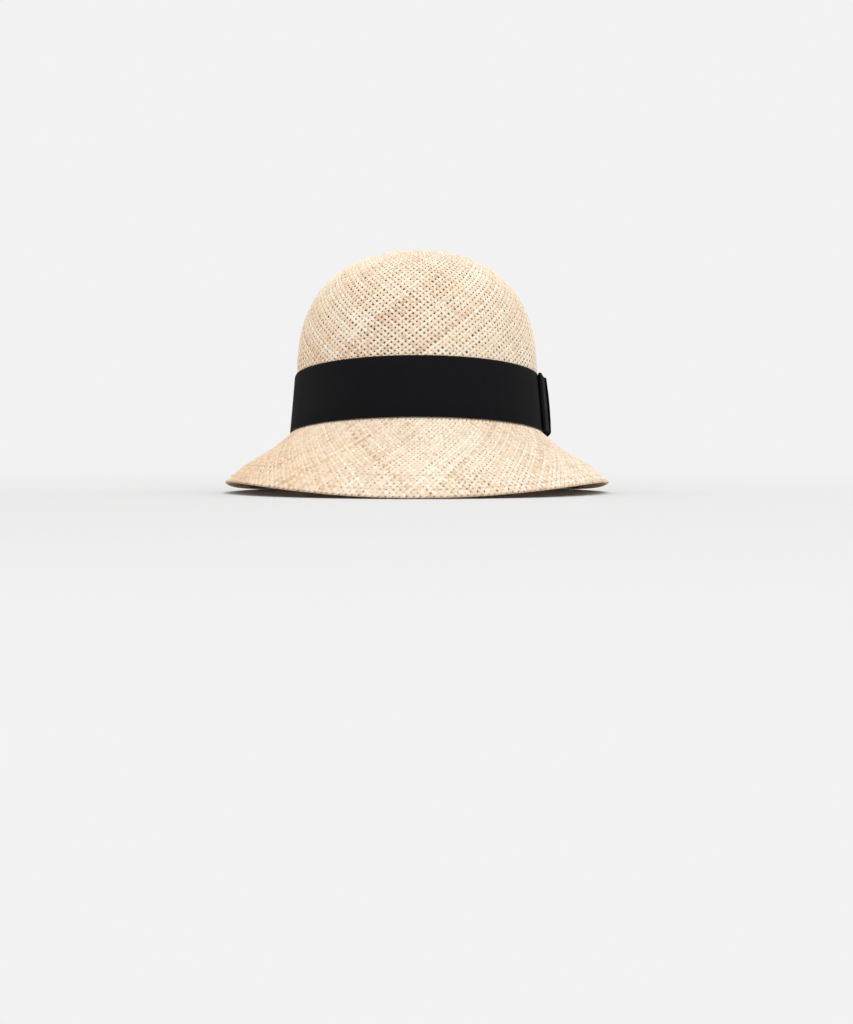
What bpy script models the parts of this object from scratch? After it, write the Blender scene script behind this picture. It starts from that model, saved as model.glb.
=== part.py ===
"""A straw cloche hat with a black grosgrain band and a flat tailored bow.

Metres, +Z up. The front of the hat faces -Y and the bow is on the wearer's left, at +X.
The pieces are worked out in the hat's own frame, whose origin is the middle of the head line,
where crown and brim meet, and an empty then sets the hat down on the edge of its brim: the
front of the brim hangs lower than the back, so the hat rests tipped back a little.
An azimuth is an angle round the head, 0 at the front and 90 degrees on the bow's side.
"""

import math

import bmesh
import bpy
from mathutils import Vector

# Crown
HEAD_HALF_WIDTH = 0.0843
HEAD_HALF_LENGTH = 0.1014
CROWN_HEIGHT = 0.1215
WALL_HEIGHT = 0.0385
WALL_LEAN = 0.003
DOME_ROUNDNESS = 2.5

# Brim: how far its edge reaches out from the head line, and how far it drops below it
FRONT_REACH = 0.035
SIDE_REACH = 0.0445
BACK_REACH = 0.0385
FRONT_DROP = 0.0525
SIDE_DROP = 0.0335
BACK_DROP = 0.0235
BRIM_SWAY = 0.0012
COLLAR_HEIGHT = 0.010
HEM_WIDTH = 0.017
HEM_STEP = 0.001
FOLD_THICKNESS = 0.0012
EDGE_LIFT = 0.001

# Straw and ribbon
STRAW_THICKNESS = 0.0012
RIBBON_WIDTH = 0.038
RIBBON_THICKNESS = 0.001
CLEARANCE = 0.0003

# Bow
BOW_AZIMUTH = math.radians(92)
BOW_LENGTH = 0.062
LOOP_GAP = 0.0006
LOOP_BLEND = 0.010
KNOT_WIDTH = 0.015
KNOT_BULGE = 0.0006
KNOT_CORNER = 0.001

# Fineness
ROUND_STEPS = 72
DOME_STEPS = 10
BRIM_STEPS = 6
BOW_STEPS = 12
CORNER_STEPS = 4
WRAP_STEPS = 6


def clear_scene():
    for existing in list(bpy.data.objects):
        bpy.data.objects.remove(existing, do_unlink=True)


def make_collection(name):
    collection = bpy.data.collections.new(name)
    bpy.context.scene.collection.children.link(collection)
    return collection


def make_material(name, color, roughness):
    material = bpy.data.materials.new(name)
    material.use_nodes = True
    shader = material.node_tree.nodes["Principled BSDF"]
    shader.inputs["Base Color"].default_value = (*color, 1.0)
    shader.inputs["Roughness"].default_value = roughness
    shader.inputs["Metallic"].default_value = 0.0
    return material


def wall_share(height):
    """Width of the crown at a height, as a share of its width at the head line."""
    top_share = 1.0 - WALL_LEAN / HEAD_HALF_WIDTH
    if height <= WALL_HEIGHT:
        return 1.0 - (1.0 - top_share) * height / WALL_HEIGHT
    climb = (height - WALL_HEIGHT) / (CROWN_HEIGHT - WALL_HEIGHT)
    return top_share * max(0.0, 1.0 - climb**DOME_ROUNDNESS) ** (1.0 / DOME_ROUNDNESS)


def wall_point(azimuth, height, proud):
    """A point on the crown's outer face, moved out from the wall by proud."""
    share = wall_share(height)
    half_width = HEAD_HALF_WIDTH * share
    half_length = HEAD_HALF_LENGTH * share
    across, along = math.sin(azimuth), -math.cos(azimuth)
    outward = Vector((across / half_width, along / half_length, 0.0)).normalized()
    return Vector((half_width * across, half_length * along, height)) + proud * outward


def front_edge():
    return Vector((0.0, -(HEAD_HALF_LENGTH + FRONT_REACH), -FRONT_DROP))


def back_edge():
    return Vector((0.0, HEAD_HALF_LENGTH + BACK_REACH, -BACK_DROP))


def resting_tilt():
    """The angle by which the hat tips back when it stands on its brim."""
    span = back_edge() - front_edge()
    return math.atan2(span.z, span.y)


def edge_point(azimuth):
    """The brim's edge: two half ellipses in plan, never lower than the line it rests on."""
    across, along = math.sin(azimuth), -math.cos(azimuth)
    if along < 0.0:
        end_reach, end_drop = FRONT_REACH, FRONT_DROP
    else:
        end_reach, end_drop = BACK_REACH, BACK_DROP
    drop = SIDE_DROP + (end_drop - SIDE_DROP) * along**2
    x = (HEAD_HALF_WIDTH + SIDE_REACH) * across
    y = (HEAD_HALF_LENGTH + end_reach) * along
    rest = front_edge().z + (y - front_edge().y) * math.tan(resting_tilt())
    return Vector((x, y, max(-drop, rest)))


def brim_point(azimuth, share):
    """The brim's upper face, from the head line, share 0, to its edge, share 1.

    It leaves the crown steeply, flares, and turns down again a little towards the edge.
    """
    start = wall_point(azimuth, 0.0, 0.0) - Vector((0.0, 0.0, CLEARANCE))
    point = start.lerp(edge_point(azimuth), share)
    point.z -= BRIM_SWAY * math.sin(2.0 * math.pi * share)
    return point


def brim_depth(azimuth):
    """The brim's length down its slope."""
    return (edge_point(azimuth) - brim_point(azimuth, 0.0)).length


def azimuths():
    return [2.0 * math.pi * step / ROUND_STEPS for step in range(ROUND_STEPS)]


def wall_ring(height, proud):
    return [wall_point(azimuth, height, proud) for azimuth in azimuths()]


def brim_ring(from_edge, from_hem_share=1.0):
    """A ring on the brim, at a distance up its slope from the edge.

    from_hem_share then scales what is left between that ring and the head line.
    """
    ring = []
    for azimuth in azimuths():
        share = from_hem_share * (1.0 - from_edge / brim_depth(azimuth))
        ring.append(brim_point(azimuth, share))
    return ring


def crown_heights():
    """Heights of the crown's rings, close together where the dome turns over."""
    heights = [0.0, 0.5 * WALL_HEIGHT, WALL_HEIGHT]
    for step in range(1, DOME_STEPS):
        climb = math.sin(0.5 * math.pi * step / DOME_STEPS) ** (2.0 / DOME_ROUNDNESS)
        heights.append(WALL_HEIGHT + climb * (CROWN_HEIGHT - WALL_HEIGHT))
    return heights


def ribbon_heights():
    """Heights of the ribbon's rings: its two edges, and the crown's rings between them."""
    low, high = CLEARANCE, CLEARANCE + RIBBON_WIDTH
    return [low] + [height for height in crown_heights() if low < height < high] + [high]


def make_sheet(name, rings, pole=None, thick_rings=()):
    """A surface through closed rings of points, faces outward when the rings run upwards.

    pole closes the last ring with a fan, and thick_rings go into the vertex group "hem".
    """
    mesh = bpy.data.meshes.new(name)
    builder = bmesh.new()
    rows = [[builder.verts.new(point) for point in ring] for ring in rings]
    for low, high in zip(rows, rows[1:]):
        for step in range(len(low)):
            after = (step + 1) % len(low)
            builder.faces.new((low[step], low[after], high[after], high[step]))
    if pole is not None:
        tip = builder.verts.new(pole)
        last = rows[-1]
        for step in range(len(last)):
            builder.faces.new((last[step], last[(step + 1) % len(last)], tip))
    builder.to_mesh(mesh)
    builder.free()
    mesh.shade_smooth()
    mesh.set_sharp_from_angle(angle=math.radians(40))
    sheet = bpy.data.objects.new(name, mesh)
    if thick_rings:
        group = sheet.vertex_groups.new(name="hem")
        for ring in thick_rings:
            first = ring * ROUND_STEPS
            group.add(list(range(first, first + ROUND_STEPS)), 1.0, "REPLACE")
    return sheet


def thicken(sheet, thickness, offset):
    """Turn the surface into a wall: offset -1 grows it inwards, 1 outwards and 0 both ways."""
    wall = sheet.modifiers.new("wall", "SOLIDIFY")
    wall.thickness = thickness
    wall.offset = offset
    wall.use_even_offset = True
    wall.use_quality_normals = True
    return wall


def make_crown():
    """The blocked dome: a slightly leaning wall, then a round top, oval in plan."""
    rings = [wall_ring(height, 0.0) for height in crown_heights()]
    crown = make_sheet("crown", rings, pole=Vector((0.0, 0.0, CROWN_HEIGHT)))
    thicken(crown, STRAW_THICKNESS, -1.0)
    crown.data.materials.append(make_material("crown_straw", (0.86, 0.70, 0.47), 0.7))
    return crown


def make_brim(floor_cutter):
    """The brim with its hem and with the short collar that stands inside the crown."""
    rings = [brim_ring(HEM_WIDTH * share) for share in (0.0, 0.5, 1.0)]
    hem_rings = range(len(rings))
    for step in range(BRIM_STEPS + 1):
        rings.append(brim_ring(HEM_WIDTH + HEM_STEP, 1.0 - step / BRIM_STEPS))
    collar = -(STRAW_THICKNESS + CLEARANCE)
    lowered = Vector((0.0, 0.0, CLEARANCE))
    for height in (0.0, COLLAR_HEIGHT):
        rings.append([point - lowered for point in wall_ring(height, collar)])
    brim = make_sheet("brim", rings, thick_rings=hem_rings)
    hem_thickness = STRAW_THICKNESS + FOLD_THICKNESS
    wall = thicken(brim, hem_thickness, -1.0)
    wall.vertex_group = "hem"
    wall.thickness_vertex_group = STRAW_THICKNESS / hem_thickness
    trim = brim.modifiers.new("resting edge", "BOOLEAN")
    trim.operation = "DIFFERENCE"
    trim.solver = "EXACT"
    trim.object = floor_cutter
    brim.data.materials.append(make_material("brim_straw", (0.84, 0.68, 0.45), 0.7))
    return brim


def make_hatband():
    """The flat ribbon round the foot of the crown."""
    band = make_sheet("hatband", [wall_ring(height, CLEARANCE) for height in ribbon_heights()])
    thicken(band, RIBBON_THICKNESS, 1.0)
    band.data.materials.append(make_material("band_grosgrain", (0.012, 0.012, 0.014), 0.6))
    return band


def bow_point(along, proud, height):
    """A point over the hatband: along it from the bow's middle, and proud of its outer face."""
    arc_radius = math.hypot(
        HEAD_HALF_WIDTH * math.cos(BOW_AZIMUTH), HEAD_HALF_LENGTH * math.sin(BOW_AZIMUTH)
    )
    azimuth = BOW_AZIMUTH + along / arc_radius
    return wall_point(azimuth, max(height, 0.0), CLEARANCE + RIBBON_THICKNESS + proud) + Vector(
        (0.0, 0.0, min(height, 0.0))
    )


def pinch(along):
    """1 under the knot, easing to 0 where the loops lie free."""
    past = (abs(along) - 0.5 * KNOT_WIDTH) / LOOP_BLEND
    past = min(1.0, max(0.0, past))
    return 0.5 + 0.5 * math.cos(math.pi * past)


def fold(along, proud, radius, side):
    """Points round a fold of the ribbon at one end of the bow, side 1 or -1."""
    points = []
    for step in range(1, CORNER_STEPS):
        turn = math.pi * step / CORNER_STEPS
        points.append((along + side * radius * math.sin(turn), proud - side * radius * math.cos(turn)))
    return points


def make_bow_loops():
    """The ribbon folded back on itself at both ends and pinched under the knot."""
    layer = RIBBON_THICKNESS + CLEARANCE
    loft = RIBBON_THICKNESS + LOOP_GAP
    under = CLEARANCE + 0.5 * RIBBON_THICKNESS
    reach = 0.5 * (BOW_LENGTH - loft - RIBBON_THICKNESS)
    places = [reach * (2.0 * step / BOW_STEPS - 1.0) for step in range(BOW_STEPS + 1)]
    outline = [(along, under + layer * pinch(along)) for along in places]
    outline += fold(reach, under + 0.5 * loft, 0.5 * loft, 1)
    outline += [
        (along, under + loft + (2.0 * layer - loft) * pinch(along)) for along in reversed(places)
    ]
    outline += fold(-reach, under + 0.5 * loft, 0.5 * loft, -1)
    rings = [
        [bow_point(along, proud, height) for along, proud in outline] for height in ribbon_heights()
    ]
    loops = make_sheet("bow_loops", rings)
    thicken(loops, RIBBON_THICKNESS, 0.0)
    loops.data.materials.append(make_material("bow_grosgrain", (0.012, 0.012, 0.014), 0.6))
    return loops


def make_bow_knot():
    """The short wrap round the middle of the bow: behind it, over its edges and across it."""
    half = 0.5 * RIBBON_THICKNESS
    low, high = -half, RIBBON_WIDTH + 2.0 * CLEARANCE + half
    back = CLEARANCE + half
    front = back + 3.0 * (RIBBON_THICKNESS + CLEARANCE)
    corners = (
        (low + KNOT_CORNER, front - KNOT_CORNER, 180),
        (high - KNOT_CORNER, front - KNOT_CORNER, 90),
        (high - KNOT_CORNER, back + KNOT_CORNER, 0),
        (low + KNOT_CORNER, back + KNOT_CORNER, 270),
    )
    rounded = []
    for height, proud, start in corners:
        for step in range(CORNER_STEPS + 1):
            turn = math.radians(start - 90.0 * step / CORNER_STEPS)
            rounded.append(
                (height + KNOT_CORNER * math.cos(turn), proud + KNOT_CORNER * math.sin(turn))
            )
    face = []
    for step in range(1, WRAP_STEPS):
        share = step / WRAP_STEPS
        height = low + KNOT_CORNER + (high - low - 2.0 * KNOT_CORNER) * share
        face.append((height, front + KNOT_BULGE * math.sin(math.pi * share)))
    outline = rounded[: CORNER_STEPS + 1] + face + rounded[CORNER_STEPS + 1 :]
    widths = [KNOT_WIDTH * share for share in (-0.5, -0.25, 0.0, 0.25, 0.5)]
    rings = [[bow_point(along, proud, height) for height, proud in outline] for along in widths]
    knot = make_sheet("bow_knot", rings)
    thicken(knot, RIBBON_THICKNESS, 0.0)
    knot.data.materials.append(make_material("knot_grosgrain", (0.012, 0.012, 0.014), 0.6))
    return knot


def make_rest():
    """The empty that sets the hat down: its edge on the ground, its middle over the origin."""
    tilt = resting_tilt()
    rest = bpy.data.objects.new("resting_place", None)
    rest.rotation_euler = (-tilt, 0.0, 0.0)
    turn = rest.rotation_euler.to_matrix()
    front, back = turn @ front_edge(), turn @ back_edge()
    rest.location = (0.0, -0.5 * (front.y + back.y), EDGE_LIFT - front.z)
    return rest


def make_floor_cutter(collection):
    """The block that trims the brim's edge flat where it rests."""
    width = 4.0 * (HEAD_HALF_LENGTH + BACK_REACH)
    depth = 4.0 * (STRAW_THICKNESS + FOLD_THICKNESS)
    bpy.ops.mesh.primitive_cube_add(size=1.0, location=(0.0, 0.0, -0.5 * depth))
    cutter = bpy.context.active_object
    cutter.name = "floor_cutter"
    cutter.scale = (width, width, depth)
    cutter.hide_render = True
    cutter.display_type = "WIRE"
    for holder in list(cutter.users_collection):
        holder.objects.unlink(cutter)
    collection.objects.link(cutter)
    return cutter


def main():
    clear_scene()
    pieces = make_collection("straw_cloche_hat")
    cutters = make_collection("cutters")
    floor_cutter = make_floor_cutter(cutters)
    rest = make_rest()
    pieces.objects.link(rest)
    made = [make_crown(), make_brim(floor_cutter), make_hatband(), make_bow_loops(), make_bow_knot()]
    for piece in made:
        pieces.objects.link(piece)
        piece.parent = rest


main()
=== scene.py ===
# %% [markdown]
# # A straw cloche with a black ribbon
#
# This lesson dresses a plain model of a hat: an egg-shaped crown and a down-turned brim of
# woven straw, a grosgrain band, and a flat bow of the same ribbon at the wearer's left.
# The plain model already has the right size and place, so each cell adds what it lacks:
# real strands that pass over and under each other, a folded hem with its stitches, and a
# ribbon with its fine ribs. Everything is in metres, in the plain model's own frame.

# %% Load the plain model
import math

import bpy
import numpy as np
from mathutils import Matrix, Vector


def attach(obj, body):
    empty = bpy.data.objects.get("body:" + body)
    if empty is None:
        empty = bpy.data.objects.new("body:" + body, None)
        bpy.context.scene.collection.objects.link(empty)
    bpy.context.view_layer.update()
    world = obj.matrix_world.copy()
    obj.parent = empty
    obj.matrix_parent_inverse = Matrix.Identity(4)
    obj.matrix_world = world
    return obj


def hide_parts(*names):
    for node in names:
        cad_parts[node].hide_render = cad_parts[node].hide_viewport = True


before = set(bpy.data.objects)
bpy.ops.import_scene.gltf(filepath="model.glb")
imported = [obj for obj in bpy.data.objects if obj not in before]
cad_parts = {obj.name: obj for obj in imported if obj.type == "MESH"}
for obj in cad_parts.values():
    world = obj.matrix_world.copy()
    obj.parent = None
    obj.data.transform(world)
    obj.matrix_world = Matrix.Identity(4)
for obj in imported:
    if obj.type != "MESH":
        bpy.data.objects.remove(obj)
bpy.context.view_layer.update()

# %% [markdown]
# ## The crown's block
#
# Straw is pressed on a block, and a block is described by its head line, the oval where the
# crown meets the brim. Above it comes a short wall that leans in a little, and then a dome
# that is fuller than an ellipse. It could be shaped by hand, but written as a function of
# two arrays it gives thousands of points in one call. The sizes are those that the plain
# model was made from, so the straw lies exactly where its walls are. Heights are measured
# from the head line, the front of the hat is towards -Y and the bow at +X.

# %% The crown as a function of two parameters
TURN = 2 * math.pi
HEAD_HALF_WIDTH = 0.0843
HEAD_HALF_LENGTH = 0.1014
MEAN_RADIUS = (HEAD_HALF_WIDTH + HEAD_HALF_LENGTH) / 2
CROWN_HEIGHT = 0.1215
WALL_HEIGHT = 0.0385
WALL_LEAN = 0.003
TOP_SHARE = 1 - WALL_LEAN / HEAD_HALF_WIDTH
DOME_ROUNDNESS = 2.5


def crown_profile():
    """Distance from the apex, share of the plan size, and height, down the mean profile.

    On the dome the height climbs as sin^(2/n) and the share falls as cos^(2/n), which is
    the superellipse; below it the wall is a straight line to the head line."""
    quarter = np.linspace(1, 0, 3000) * TURN / 4
    power = 2 / DOME_ROUNDNESS
    share = TOP_SHARE * np.cos(quarter) ** power
    height = WALL_HEIGHT + (CROWN_HEIGHT - WALL_HEIGHT) * np.sin(quarter) ** power
    share = np.append(share, np.linspace(TOP_SHARE, 1, 200)[1:])
    height = np.append(height, np.linspace(WALL_HEIGHT, 0, 200)[1:])
    steps = np.hypot(np.diff(share * MEAN_RADIUS), np.diff(height))
    return np.append(0, np.cumsum(steps)), share, height


CROWN_DOWN, CROWN_SHARE, CROWN_RISE = crown_profile()


def oval(azimuth, share, height):
    """A point on a share of the head line's oval, at a height. Azimuth 0 is the front and a
    quarter turn is the bow's side."""
    return np.stack([HEAD_HALF_WIDTH * share * np.sin(azimuth),
                     -HEAD_HALF_LENGTH * share * np.cos(azimuth), height + 0 * azimuth], -1)


def crown_outer(azimuth, down):
    """The crown's outer face: the oval that the profile has after going down that far from
    the apex."""
    return oval(azimuth, np.interp(down, CROWN_DOWN, CROWN_SHARE),
                np.interp(down, CROWN_DOWN, CROWN_RISE))


print("head line, mm:", round(2000 * HEAD_HALF_WIDTH, 1), "by",
      round(2000 * HEAD_HALF_LENGTH, 1), "and from it to the apex, over the dome:",
      round(CROWN_DOWN[-1] * 1000, 1))

# %% [markdown]
# The brim and the ribbon need the same wall by its height, not by the distance from the
# apex. It could be looked up in the profile's table, but the superellipse solved for its
# share is exact. A point can also be moved out, because ribbon lies proud of the straw.

# %% A point at a height on the wall
def wall_share(height):
    """Plan size of the crown at a height, as a share of the head line's."""
    climb = np.clip((height - WALL_HEIGHT) / (CROWN_HEIGHT - WALL_HEIGHT), 0, 1)
    dome = TOP_SHARE * (1 - climb ** DOME_ROUNDNESS) ** (1 / DOME_ROUNDNESS)
    return np.where(height < WALL_HEIGHT, 1 - (1 - TOP_SHARE) * height / WALL_HEIGHT, dome)


def wall_point(azimuth, height, proud=0.0):
    """A point at a height on the crown, moved out along the oval's plan normal."""
    across, along = np.sin(azimuth) / HEAD_HALF_WIDTH, -np.cos(azimuth) / HEAD_HALF_LENGTH
    size = np.hypot(across, along)
    point = oval(azimuth, wall_share(height), height)
    point[..., 0] += proud * across / size
    point[..., 1] += proud * along / size
    return point


side = wall_point(np.full(2, TURN / 4), np.array([WALL_HEIGHT, 0.08]))[:, 0]
print("half width on top of the wall and at 80 mm, mm:", np.round(side * 1000, 1))

# %% [markdown]
# ## The brim's block
#
# The brim runs out and down from the head line to an edge that reaches and drops by
# different amounts at the front, the sides and the back. It could be drawn as a net of
# curves. As a straight line plus a shallow sway plus one soft crease it stays smooth
# everywhere, and each part of that sum can be changed alone.

# %% The brim as a function of two parameters
FRONT_REACH, SIDE_REACH, BACK_REACH = 0.035, 0.0445, 0.0385
FRONT_DROP, SIDE_DROP, BACK_DROP = 0.0525, 0.0335, 0.0235
FRONT_Y, FRONT_Z = -(HEAD_HALF_LENGTH + FRONT_REACH), -FRONT_DROP
BACK_Y, BACK_Z = HEAD_HALF_LENGTH + BACK_REACH, -BACK_DROP
TILT = math.atan2(BACK_Z - FRONT_Z, BACK_Y - FRONT_Y)
BRIM_SWAY = 0.0012
CREASE_AZIMUTH, CREASE_WIDTH, CREASE_DEPTH = math.radians(125), math.radians(4), 0.0009
CLEARANCE = 0.0003


def edge_point(azimuth):
    """The brim's edge: an oval made of two half ovals, dropping from the sides to both ends
    as cos squared, and never below the line on which the front and the back rest."""
    backwards = -np.cos(azimuth)
    reach = np.where(backwards < 0, FRONT_REACH, BACK_REACH)
    drop = np.where(backwards < 0, FRONT_DROP, BACK_DROP)
    x = (HEAD_HALF_WIDTH + SIDE_REACH) * np.sin(azimuth)
    y = (HEAD_HALF_LENGTH + reach) * backwards
    z = -(SIDE_DROP + (drop - SIDE_DROP) * np.cos(azimuth) ** 2)
    return np.stack([x, y, np.maximum(z, FRONT_Z + (y - FRONT_Y) * math.tan(TILT))], -1)


def brim_outer(azimuth, share):
    """The brim's outer face: straight from the head line (share 0) to the edge (share 1),
    with one full sine wave between them as its sway, and one soft crease: a bell curve
    round the hat times half a sine wave across the brim."""
    start = wall_point(azimuth, 0 * azimuth) - np.array([0, 0, CLEARANCE])
    point = start + (edge_point(azimuth) - start) * share[..., None]
    bell = np.exp(-(((azimuth - CREASE_AZIMUTH + math.pi) % TURN - math.pi) / CREASE_WIDTH) ** 2)
    point[..., 2] -= BRIM_SWAY * np.sin(TURN * share) + CREASE_DEPTH * bell * np.sin(np.pi * share)
    return point


def brim_depth(azimuth):
    """Straight distance from the head line to the edge at each azimuth."""
    return np.linalg.norm(edge_point(azimuth) - wall_point(azimuth, 0 * azimuth), axis=-1)


print("brim at the front, side and back, mm:",
      np.round(brim_depth(np.array([0, TURN / 4, TURN / 2])) * 1000, 1))

# %% [markdown]
# ## Which way is out, and how the hat rests
#
# Strands are lifted along the block's outward normal, and the finished hat is tipped back
# until it rests on its brim. The objects could be turned instead, but turning the points
# leaves every object at the origin, where the pattern of its finish stays in place.

# %% Normals and the rest pose
EDGE_LIFT = 0.001
FLOOR_CLEARANCE = 0.00005


def unit(vectors):
    """Vectors of length one."""
    return vectors / np.maximum(np.linalg.norm(vectors, axis=-1, keepdims=True), 1e-12)


def facing(surface, azimuth, along, step=2e-4):
    """Outward normal of a surface of (azimuth, along): the cross product of its two slopes,
    each the difference between two nearby points."""
    down = surface(azimuth, along + step) - surface(azimuth, along - step)
    round_it = surface(azimuth + step, along) - surface(azimuth - step, along)
    return unit(np.cross(down, round_it))


def at_rest(points):
    """Tips the hat back until the front and the back of its edge rest on the floor, and
    keeps every point just above it."""
    c, s = math.cos(TILT), math.sin(TILT)
    turned = np.stack([points[..., 0], c * points[..., 1] + s * points[..., 2],
                       c * points[..., 2] - s * points[..., 1]], -1)
    ends = [(c * y + s * z, c * z - s * y) for y, z in ((FRONT_Y, FRONT_Z), (BACK_Y, BACK_Z))]
    placed = turned + np.array([0, -(ends[0][0] + ends[1][0]) / 2, EDGE_LIFT - ends[0][1]])
    placed[..., 2] = np.maximum(placed[..., 2], FLOOR_CLEARANCE)
    return placed


print("tipped back by", round(math.degrees(TILT), 2), "degrees")

# %% [markdown]
# ## From arrays to a mesh
#
# Strands, ribs and stitches are all the same thing to Blender: rows of points joined by
# four-sided faces. Faces could be added one by one, but one helper that takes whole arrays
# is far quicker. It also gives each face its place on a UV map, and each point a shade
# number that its finish can read.

# %% A helper that makes a piece
MODEL = bpy.data.collections.new("hat")
bpy.context.scene.collection.children.link(MODEL)


def make_piece(name, points, faces, spots, shades, finish, slot, hides=(), tan=None):
    """A mesh from points on the block (n, 3), faces (m, 4), UV spots (m, 4, 2), shades (n)
    and, for straw, how much painted shade, a darker and warmer tint, each point gets (n).
    A last corner of -1 leaves a face with three sides."""
    mesh = bpy.data.meshes.new(name)
    real = faces >= 0
    sides = real.sum(1)
    mesh.vertices.add(len(points))
    mesh.vertices.foreach_set("co", at_rest(points).astype(np.float32).ravel())
    mesh.loops.add(int(sides.sum()))
    mesh.loops.foreach_set("vertex_index", faces[real].astype(np.int32))
    mesh.polygons.add(len(faces))
    mesh.polygons.foreach_set("loop_start", (np.cumsum(sides) - sides).astype(np.int32))
    mesh.polygons.foreach_set("use_smooth", np.ones(len(faces), bool))
    mesh.update(calc_edges=True)
    mesh.uv_layers.new(name="lay").data.foreach_set(
        "uv", spots[real].astype(np.float32).ravel())
    # For straw, the tan attribute carries painted shade, a darker and warmer tint.
    for label, values in (("shade", shades), ("tan", tan)):
        if values is not None:
            mesh.attributes.new(label, "FLOAT", "POINT").data.foreach_set(
                "value", values.astype(np.float32))
    piece = bpy.data.objects.new(name, mesh)
    MODEL.objects.link(piece)
    piece.data.materials.append(finish)
    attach(piece, "root")
    if hides:
        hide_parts(*hides)
    print(f"{name}: {len(points)} points, {int((sides - 2).sum())} triangles")
    return piece


print("pieces go into the collection", MODEL.name)

# %% [markdown]
# ## Rods with corners
#
# A strand of straw is a flat rod, and so is a stitch. A curve with a bevel could draw one,
# but hundreds of them are quicker as arrays: each rod is its middle line with the same few
# corners set round every station. A strand has five, for a flat top and a keel below, and
# a thread has four.

# %% Helpers that make rods
# Corners of a section: share of the half width, share of the half thickness, place round it.
SPLINT = np.array([(1, 0, 0), (0.6, 1, 0.1), (-0.6, 1, 0.4), (-1, 0, 0.5), (0, -1, 0.75)])
THREAD = np.array([(1, 0, 0), (0, 1, 0.25), (-1, 0, 0.5), (0, -1, 0.75)])


def net(near, far, left, right, start, end):
    """Faces between each ring of points and the next one, and the UV spots of a face's
    corners: its left and right place round the ring, its start and end along the piece."""
    faces = np.stack([near, np.roll(near, -1, -1), np.roll(far, -1, -1), far], -1)
    _, left, right, start, end = np.broadcast_arrays(near, left, right, start, end)
    spots = np.stack([np.stack(corner, -1) for corner in (
        (left, start), (right, start), (right, end), (left, end))], -2)
    return faces.reshape(-1, 4), spots.reshape(-1, 4, 2)


def rods(middle, across, out, shades, section=SPLINT):
    """Rods round middle lines (rods, stations, 3). Each corner is the middle plus its two
    shares of across and out, the half width and the half thickness as vectors. A four-sided
    face closes each end, and a three-sided one as well where the section has five corners."""
    points = (middle[:, :, None] + section[:, :1] * across[:, :, None]
              + section[:, 1:2] * out[:, :, None])
    count, stations, corners = points.shape[:3]
    number = np.arange(count * stations * corners).reshape(count, stations, corners)
    run = np.cumsum(np.linalg.norm(np.diff(middle, axis=1, prepend=middle[:, :1]), axis=-1), 1)
    faces, spots = net(number[:, :-1], number[:, 1:], section[:, 2],
                       np.append(section[1:, 2], 1), run[:, :-1, None], run[:, 1:, None])
    first, last = number[:, 0], number[:, -1]
    ends = [first[:, 3::-1], last[:, :4]]
    if corners == 5:
        none = np.full((count, 1), -1)
        ends += [np.hstack([first[:, [4, 3, 0]], none]), np.hstack([last[:, [0, 3, 4]], none])]
    ends = np.concatenate(ends)
    spots = np.concatenate([spots, np.zeros((len(ends), 4, 2))])
    tone = np.broadcast_to(shades[..., None], points.shape[:-1])
    return points.reshape(-1, 3), np.concatenate([faces, ends]), spots, tone.ravel()


def across_of(normal, middle):
    """Unit vectors across each rod, square to its run and to its normal."""
    return unit(np.cross(normal, unit(np.gradient(middle, axis=1))))


def joined(parts):
    """Several sets of points, faces, spots and shades as one."""
    shift = np.cumsum([0] + [len(p[0]) for p in parts[:-1]])
    return (np.concatenate([p[0] for p in parts]),
            np.concatenate([np.where(p[1] < 0, -1, p[1] + s) for p, s in zip(parts, shift)]),
            np.concatenate([p[2] for p in parts]), np.concatenate([p[3] for p in parts]))


print("corners of a strand:", len(SPLINT), "and of a thread:", len(THREAD))

# %% [markdown]
# ## Writing finishes as sums
#
# A finish is a small net of nodes. Drawn by hand it is hard to read, so one class wraps an
# output and gives it + - * and /, also where a number comes first. A finish then reads like
# the sum that it is, while Blender still gets ordinary nodes.

# %% A wire
class Wire:
    """One output of a node. Sums of wires and numbers add Math nodes."""

    def __init__(self, finish, socket):
        self.finish, self.socket = finish, socket

    def math(self, operation, *others):
        return self.finish.math(operation, self, *others)

    def __add__(self, other):
        return self.math("ADD", other)

    def __mul__(self, other):
        return self.math("MULTIPLY", other)

    def __sub__(self, other):
        return self.math("SUBTRACT", other)

    def __truediv__(self, other):
        return self.math("DIVIDE", other)

    def __rsub__(self, other):
        return self.finish.math("SUBTRACT", other, self)

    def __rtruediv__(self, other):
        return self.finish.math("DIVIDE", other, self)

    __radd__, __rmul__ = __add__, __mul__

    def clipped(self):
        return self.finish.node("ShaderNodeClamp", {}, {"Value": self})


print("wire:", Wire.__doc__)

# %% [markdown]
# The net itself is kept by a second class. Each node could be made, set and linked in lines
# of its own, but one method that takes its type, its settings and its sockets keeps a
# finish short enough to see what feeds what.

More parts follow.
